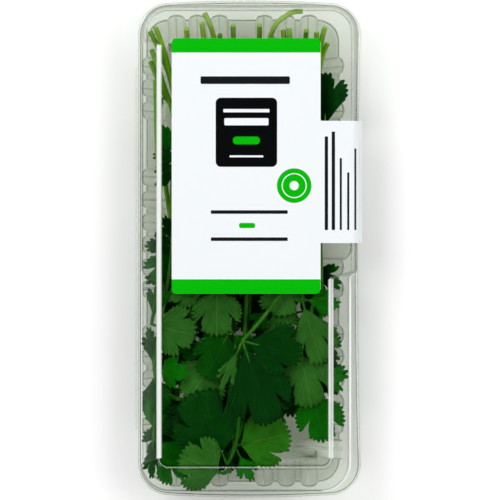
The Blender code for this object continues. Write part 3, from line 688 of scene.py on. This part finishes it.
# Tray
def buildTray():
    stations, spans = perimeter(rim, 0.55, 14)
    depth = pack["trayDepth"]

    def wall(height):
        def shape(station, point, way):
            return point + way * fluteBulge(*station, height)
        return shape

    footShare = tray["footRise"] / depth
    run = tray["wallRun"]
    rings = [
        (inset(rim, run + tray["footRun"] + 1.2, tray["floorCorner"]), 0.4, wall(0.0)),
        (inset(rim, run + tray["footRun"], tray["floorCorner"]), 0.4, wall(0.0)),
        (inset(rim, run, tray["floorCorner"] + 0.4), tray["footRise"], wall(footShare)),
        (rim, depth + pack["sheet"], wall(1.0)),
        (flangeBox(1.0), depth + pack["sheet"], flangeShape),
        (flangeBox(0.0), depth + pack["sheet"] - 0.4, flangeShape),
    ]
    obj = formedSheet("tray_shell", rings, (0.6, 1.2, 0.8, 0.5), stations, spans, trayPaintedBendLine)
    solidify(obj, pack["sheet"], -1)
    return obj


# Lid
def chamferShare(side, value):
    end = lid["rightChamferEnd"] if side == "right" else lid["leftChamferEnd"]
    return ease((end - value) / lid["ease"])


def domeFoot(station, point, way):
    side, value = station
    if side == "right":
        point.x += (lid["footRight"] - dome["x1"]) * chamferShare("right", value)
    elif side == "left":
        point.x += (lid["footLeft"] - dome["x0"]) * chamferShare("left", value)
    elif side in ("bottom", "bottom_right"):
        point.x += (lid["footRight"] - dome["x1"]) * ease((point.x - 10) / 30)
    return point


def panelEdge(station, point, way):
    side, value = station
    corner = lid["panelCorner"]
    low = lid["panelBottom"] + corner
    if side == "right":
        point.x += (lid["panelRight"] - dome["x1"] + lid["run"]) * chamferShare("right", value)
        point.y = max(point.y, low)
    elif side == "left":
        point.x += (lid["panelLeft"] - dome["x0"] - lid["run"]) * chamferShare("left", value)
        point.y = max(point.y, low)
    elif side == "bottom":
        share = (value - dome["x0"] - dome["corner"]) / (dome["x1"] - dome["x0"] - 2 * dome["corner"])
        left, right = lid["panelLeft"] + corner, lid["panelRight"] - corner
        point = Vector((left + (right - left) * share, lid["panelBottom"]))
    elif side == "bottom_right":
        point = Vector((lid["panelRight"] - corner, low)) + way * corner
    elif side == "bottom_left":
        point = Vector((lid["panelLeft"] + corner, low)) + way * corner
    return point


def panelInside(station, point, way):
    return panelEdge(station, point + way * 3.0, way) - way * 3.0


def buildLid():
    stations, spans = perimeter(dome, 0.8, 16)
    flange, top = pack["lidFlange"], pack["top"]
    rings = [
        (inset(dome, lid["run"] + 3.0), top, panelInside),
        (inset(dome, lid["run"]), top, panelEdge),
        (dome, flange, domeFoot),
        (flangeBox(1.0), flange, flangeShape),
        (flangeBox(0.0), flange - 0.35, flangeShape),
    ]
    obj = formedSheet("lid_shell", rings, (1.6, 1.0, 0.5), stations, spans, lidPaintedBendLine)
    solidify(obj, pack["sheet"], -1)
    return obj


def buildHinge():
    startFresh()
    bpy.ops.mesh.primitive_cylinder_add(
        vertices=20, radius=hinge["radius"] * mm, depth=2 * hinge["half"] * mm,
        location=(hinge["x"] * mm, 0, hinge["z"] * mm), rotation=(math.radians(90), 0, 0))
    obj = bpy.context.object
    obj.name = "hinge_fold"
    bpy.ops.object.transform_apply(location=True, rotation=True, scale=True)
    modifier = obj.modifiers.new("round", "BEVEL")
    modifier.width = 0.2 * mm
    modifier.segments = 3
    modifier.angle_limit = math.radians(50)
    applyModifiers(obj)
    return obj


# Label
def tabRoute():
    top = pack["top"] + label["gap"]
    ledge = pack["lidFlange"] + label["gap"]
    wallTop = dome["x1"] - lid["run"] + 0.3
    wallFoot = dome["x1"] + 0.3
    edge = pack["flangeRight"] + label["gap"]
    return [Vector((wallTop - 6, 0, top)), Vector((wallTop, 0, top)), Vector((wallFoot, 0, ledge)),
            Vector((edge, 0, ledge)), Vector((edge, 0, ledge - label["drop"]))]


def routeTable(points):
    lengths = [0.0]
    for first, second in zip(points, points[1:]):
        lengths.append(lengths[-1] + (second - first).length)
    return lengths


def alongRoute(points, lengths, distance):
    distance = min(max(distance, 0.0), lengths[-1])
    for index in range(len(points) - 1):
        if distance <= lengths[index + 1] + 1e-9:
            share = (distance - lengths[index]) / (lengths[index + 1] - lengths[index])
            return points[index].lerp(points[index + 1], share)
    return points[-1]


def buildLabel():
    route = roundedProfile(tabRoute(), (1.4, 0.8, 0.8), 6)
    lengths = routeTable(route)
    start = route[0].x
    corner = label["corner"]
    top = pack["top"] + label["gap"]

    def mainPlace(across, along):
        x = label["x0"] + (label["x1"] - label["x0"]) * across
        y = label["y0"] + (label["y1"] - label["y0"]) * along
        overX = max(0.0, label["x0"] + corner - x, x - label["x1"] + corner)
        overY = max(0.0, label["y0"] + corner - y, y - label["y1"] + corner)
        reach = max(overX, overY)
        if reach > 0 and overX > 0 and overY > 0:
            scale = reach / math.hypot(overX, overY)
            x += (overX - overX * scale) * (1 if x < 0 else -1)
            y += (overY - overY * scale) * (1 if y < 30 else -1)
        return x, y, top

    def tabPlace(across, along):
        flat = label["x1"] - start + (lengths[-1] - label["x1"] + start) * across
        y = label["tabLow"] + (label["tabHigh"] - label["tabLow"]) * along
        if flat <= 0:
            return start + flat, y, top
        point = alongRoute(route, lengths, flat)
        return point.x, y, point.z

    main = gridSheet("label_main", 80, 120, mainPlace)
    tab = gridSheet("label_tab", 90, 30, tabPlace)
    obj = joinAll([main, tab], "label_sheet")
    solidify(obj, label["paper"], 1)
    return obj


# The pile
def rimDepth(x, y):
    halfX, halfY = (rim["x1"] - rim["x0"]) / 2, (rim["y1"] - rim["y0"]) / 2
    outX = abs(x - (rim["x0"] + rim["x1"]) / 2) - halfX + rim["corner"]
    outY = abs(y - (rim["y0"] + rim["y1"]) / 2) - halfY + rim["corner"]
    return rim["corner"] - math.hypot(max(outX, 0), max(outY, 0)) - min(max(outX, outY), 0)


def lowest(x, y):
    slope = 1 - (rimDepth(x, y) - 1.0) / (tray["wallRun"] + tray["footRun"])
    lift = min(1.0, 0.5 * (slope + math.sqrt(slope * slope + 0.01)))
    return pile["sheet"] + pile["clear"] + lift * (pack["trayDepth"] + 0.25)


def highest(x, y):
    rise = pack["top"] - pack["lidFlange"]
    fall = rise / (lid["panelLeft"] - lid["footLeft"])
    drop = 0.0
    if y < lid["leftChamferEnd"]:
        drop = max(drop, fall * (lid["panelLeft"] + pile["margin"] - x))
    if y < lid["rightChamferEnd"]:
        drop = max(drop, fall * (x - lid["panelRight"] + pile["margin"]))
    drop = max(drop, pile["endSlope"] * (lid["panelBottom"] + pile["margin"] - y))
    return pack["top"] - pile["sheet"] - pile["clear"] - min(drop, rise - pile["edgeRoom"])


def wave(x, y):
    return 0.05 * math.sin(x / 9.5 + y / 17.0 + 0.6) + 0.035 * math.sin(y / 11.0 - x / 23.0 + 2.0)


def layerHeight(x, y, level):
    share = pile["low"] + (pile["high"] - pile["low"]) * level / (pile["levels"] - 1)
    share += wave(x, y) * 4 * share * (1 - share)
    low = lowest(x, y)
    return low + (max(highest(x, y), low + pile["leastRoom"]) - low) * share


def smoothRoute(points, steps):
    fine = []
    ends = [points[0], *points, points[-1]]
    for a, b, c, d in zip(ends, ends[1:], ends[2:], ends[3:]):
        for index in range(12):
            t = index / 12
            fine.append(Vector([
                0.5 * (2 * q + (r - p) * t + (2 * p - 5 * q + 4 * r - s) * t * t
                       + (3 * q - p - 3 * r + s) * t ** 3)
                for p, q, r, s in zip(a, b, c, d)]))
    fine.append(Vector(points[-1]))
    lengths = routeTable(fine)
    return [alongRoute(fine, lengths, lengths[-1] * index / steps) for index in range(steps + 1)]


# The rim of a blade, seen from its foot: an egg on a straight wedge, with three lobes and rounded teeth
def bladeRim(across, dice):
    share = across * 2 - 1
    teeth = dice["teeth"]
    tooth = across * 3 * teeth
    number = min(3 * teeth - 1, int(tooth))
    lobe = min(2, int(across * 3))
    turn = share * dice["sweep"]
    crown = 1 - abs(2 * (tooth - number) - 1) ** blade["toothPower"]
    out = dice["depth"] * (crown - 0.5) * (1 + dice["sizes"][number])
    swell = (1 - (2 * (across * 3 % 1) - 1) ** 2) * dice["swell"] + dice["lobes"][lobe]
    smooth = Vector((dice["centre"] + dice["along"] * math.cos(turn), dice["across"] * math.sin(turn)))
    rim = smooth + Vector((math.cos(turn), math.sin(turn))) * (out + swell)
    for edge in (1, 2):
        near = abs(tooth - edge * teeth)
        rim *= 1 - dice["cleft"] * max(0.0, 1 - near / blade["cleftReach"]) ** blade["cleftPower"]
    return rim, smooth


def buildBlade(name, level, foot, bearing, length, spreadAngle, face):
    random.seed(name)
    narrow = 1.0 if spreadAngle < blade["narrowBelow"] else 0.0
    full = blade["lowWidening"] if level < blade["lowLevels"] else 1.0

    def sized(key):
        broad, more = blade[key]
        return broad + more * narrow

    dice = {"sweep": math.radians(sized("sweep")), "centre": length * sized("centre"),
            "along": length * sized("along"),
            "across": length * math.sin(math.radians(spreadAngle)) * sized("across") * full,
            "cleft": random.uniform(0.18, 0.5), "swell": length * random.uniform(0.02, 0.06),
            "depth": blade["toothDepth"],
            "lobes": [length * random.uniform(-0.025, 0.025) for _ in range(3)]}
    girth = dice["sweep"] * (dice["along"] + dice["across"])
    dice["teeth"] = max(4, min(10, round(girth / 3 / blade["toothPitch"])))
    dice["sizes"] = [random.uniform(-0.5, 0.5) for _ in range(30)]
    cup, fold = random.uniform(-0.8, 0.5), random.uniform(-0.3, 0.5)
    tilt, droop, phase = random.uniform(-0.5, 0.5), random.uniform(-0.6, 0.1), random.uniform(0, 6.28)
    waves = random.uniform(6, 11)
    way = Vector((math.cos(math.radians(bearing)), math.sin(math.radians(bearing))))
    side = Vector((way.y, -way.x))

    def place(across, along):
        share = across * 2 - 1
        rim, smooth = bladeRim(across, dice)
        along = 0.03 + 0.97 * along ** 0.85
        reach = smooth.lerp(rim, along ** 3) * along
        point = foot + way * reach.x + side * reach.y
        local = abs((across * 3) % 1 * 2 - 1)
        z = layerHeight(point.x, point.y, level)
        z += cup * along * along * (share * share - 0.35) + fold * abs(share) * along + tilt * share * along
        z += droop * along ** 3 - 0.16 * math.exp(-((1 - local) / 0.2) ** 2) * along * (1 - 0.5 * along)
        z += (0.16 + 0.24 * along ** 2) * along * math.sin(waves * share + phase + 2 * along)
        return point.x, point.y, z

    obj = gridSheet(name, dice["teeth"] * 3 * blade["toothColumns"], blade["rows"], place)
    for material in (leafFinish["top"], leafFinish["under"], leafFinish["top"]):
        obj.data.materials.append(material)
    for polygon in obj.data.polygons:
        polygon.material_index = 1 if face in paleFaces else 0
        polygon.use_smooth = True
    tone = obj.data.attributes.new("tone", "FLOAT", "POINT")
    value = min(1.0, max(0.0, tones[face] + random.uniform(-0.08, 0.08)))
    for item in tone.data:
        item.value = value
    return obj


def buildStems(name, level, route, feet):
    curve = bpy.data.curves.new(name, "CURVE")
    curve.dimensions = "3D"
    curve.bevel_depth = blade["stem"] * mm
    curve.bevel_resolution = 3
    curve.use_fill_caps = True

    def strand(points, thick):
        spline = curve.splines.new("POLY")
        spline.points.add(len(points) - 1)
        for item, point, radius in zip(spline.points, points, thick):
            item.co = (point.x * mm, point.y * mm, layerHeight(point.x, point.y, level) * mm, 1)
            item.radius = radius

    steps = len(route) - 1
    strand(route, [1.2 - 0.4 * index / steps for index in range(steps + 1)])
    for foot, bearing, length in feet:
        way = Vector((math.cos(math.radians(bearing)), math.sin(math.radians(bearing))))
        end = foot + way * length * 0.22
        points = [route[-1].lerp(end, index / 6) for index in range(7)]
        strand(points, [0.68, 0.6, 0.54, 0.5, 0.44, 0.32, 0.15])
    obj = bpy.data.objects.new(name, curve)
    bpy.context.scene.collection.objects.link(obj)
    startFresh()
    bpy.context.view_layer.objects.active = obj
    obj.select_set(True)
    bpy.ops.object.convert(target="MESH")
    obj = bpy.context.object
    obj.data.materials.clear()
    obj.data.materials.append(leafFinish["stem"])
    for polygon in obj.data.polygons:
        polygon.use_smooth = True
    return obj


def buildSprig(name, level, stem, leaflets):
    route = smoothRoute([Vector(point) for point in stem], 40)
    node = route[-1]
    blades, feet = [], []
    for index, (bearing, stalk, length, spreadAngle, face) in enumerate(leaflets):
        way = Vector((math.cos(math.radians(bearing)), math.sin(math.radians(bearing))))
        foot = node + way * (blade["hub"] + stalk)
        feet.append((foot, bearing, length))
        blades.append(buildBlade(f"{name}_leaf_{index}", level, foot, bearing, length, spreadAngle, face))
    leaves = joinAll(blades, name + "_leaves")
    solidify(leaves, blade["thickness"], 0, 1)
    return joinAll([leaves, buildStems(name + "_stems", level, route, feet)], name + "_grown")


def finishPiece(obj, body, node, smooth=True):
    if smooth:
        for polygon in obj.data.polygons:
            polygon.use_smooth = True
    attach(obj, body)
    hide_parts(node)


# Stage: places and span in metres, the sensor in millimetres. sky is (from, to, strength at from,
# strength at to) over the direction's height
studio = {
    "floor": 6, "floorDrop": 0.0002,
    "sky": (0.55, 0.9, 0.6, 0.015), "glossDimming": 0.22,
    "cameraAt": (0.0006, -0.0004, 1.6), "sensor": 36, "span": 0.20925,
}


def buildStage():
    startFresh()
    bpy.ops.mesh.primitive_plane_add(size=studio["floor"], location=(0, 0, -studio["floorDrop"]))
    floor = bpy.context.object
    floor.name = "studio_floor"
    floor.data.materials.append(floorMaterial())

    lamps = {
        "left_shine": {"at": (-0.62, 0.0, 0.42), "size": (0.5, 1.5), "power": 5, "gloss": True},
        "right_shine": {"at": (0.62, 0.0, 0.42), "size": (0.2, 1.5), "power": 3, "gloss": True},
        "far_box": {"at": (0.0, 0.95, 0.75), "size": (0.9, 0.3), "power": 3.4, "gloss": False},
        "near_box": {"at": (0.0, -0.95, 0.75), "size": (0.9, 0.3), "power": 2.6, "gloss": False},
        "key_box": {"at": (-0.55, 0.45, 1.0), "size": (0.45, 0.45), "power": 5.0, "gloss": False},
        "fill_box": {"at": (0.6, 0.1, 0.9), "size": (0.45, 0.45), "power": 3.0, "gloss": False},
    }
    for name, lamp in lamps.items():
        data = bpy.data.lights.new(name, "AREA")
        data.shape = "RECTANGLE"
        data.size, data.size_y = lamp["size"]
        data.energy = lamp["power"]
        obj = bpy.data.objects.new(name, data)
        bpy.context.scene.collection.objects.link(obj)
        obj.visible_diffuse = not lamp["gloss"]
        obj.location = lamp["at"]
        x, y, z = lamp["at"]
        obj.rotation_euler = (-math.atan2(y, math.hypot(x, z)), math.atan2(x, z), 0)

    world = bpy.data.worlds.new("studio")
    bpy.context.scene.world = world
    world.use_nodes = True
    tree = world.node_tree
    coords = tree.nodes.new("ShaderNodeTexCoord")
    split = tree.nodes.new("ShaderNodeSeparateXYZ")
    ramp = tree.nodes.new("ShaderNodeMapRange")
    for key, value in zip(("From Min", "From Max", "To Min", "To Max"), studio["sky"]):
        ramp.inputs[key].default_value = value
    tree.links.new(coords.outputs["Generated"], split.inputs[0])
    tree.links.new(split.outputs["Z"], ramp.inputs["Value"])
    path = tree.nodes.new("ShaderNodeLightPath")
    dimmed = tree.nodes.new("ShaderNodeMapRange")
    dimmed.inputs["To Min"].default_value = 1.0
    dimmed.inputs["To Max"].default_value = studio["glossDimming"]
    product = tree.nodes.new("ShaderNodeMath")
    product.operation = "MULTIPLY"
    tree.links.new(path.outputs["Is Glossy Ray"], dimmed.inputs["Value"])
    tree.links.new(dimmed.outputs[0], product.inputs[0])
    tree.links.new(ramp.outputs[0], product.inputs[1])
    tree.links.new(product.outputs[0], tree.nodes["Background"].inputs["Strength"])
    tree.nodes["Background"].inputs["Color"].default_value = (1.0, 1.0, 1.0, 1)

    camera = bpy.data.cameras.new("camera")
    view = bpy.data.objects.new("camera", camera)
    bpy.context.scene.collection.objects.link(view)
    view.location = studio["cameraAt"]
    camera.sensor_width = studio["sensor"]
    distance = studio["cameraAt"][2] - pack["lidFlange"] * mm
    camera.lens = studio["sensor"] * distance / studio["span"]
    bpy.context.scene.camera = view
    bpy.context.scene.view_settings.view_transform = "Standard"
    bpy.context.scene.cycles.transparent_max_bounces = 32


buildStage()
print("stage ready")

leafFinish = {
    "top": leafMaterial("leafTop", (shade(6, 62, 14), shade(9, 84, 7), shade(15, 118, 4)),
                        shade(36, 98, 28), 0.1, 0.26),
    "under": leafMaterial("leafUnder", (shade(26, 78, 18), shade(54, 118, 40), shade(46, 126, 18)),
                          shade(98, 150, 74), 0.3, 0.32),
    "stem": stemMaterial(),
}
# The tray's first tint, used inside the tray below the rim, is darker as painted shade
clearTray = plasticMaterial("trayPlastic", (0.885, 0.905, 0.86, 1), (0.945, 0.955, 0.935, 1))
clearLid = plasticMaterial("lidPlastic", (0.95, 0.96, 0.94, 1), (0.95, 0.96, 0.94, 1))

trayShell = buildTray()
trayShell.data.materials.append(clearTray)
finishPiece(trayShell, "tray", "tray")
lidShell = buildLid()
lidShell.data.materials.append(clearLid)
finishPiece(lidShell, "lid", "lid")
hingeFold = buildHinge()
hingeFold.data.materials.append(clearLid)
finishPiece(hingeFold, "tray", "hinge_bead")
print("pack ready")

labelSheet = buildLabel()
labelSheet.data.materials.append(labelMaterial())
labelSheet.data.materials.append(labelBackMaterial())
for polygon in labelSheet.data.polygons:
    polygon.material_index = 0 if polygon.normal.x + polygon.normal.z > 0.05 else 1
finishPiece(labelSheet, "lid", "label", smooth=False)
print("label ready")

for name, (level, stem, leaflets) in sprigs.items():
    grown = buildSprig(name, level, stem, leaflets)
    finishPiece(grown, "tray", name)
print("sprigs ready")
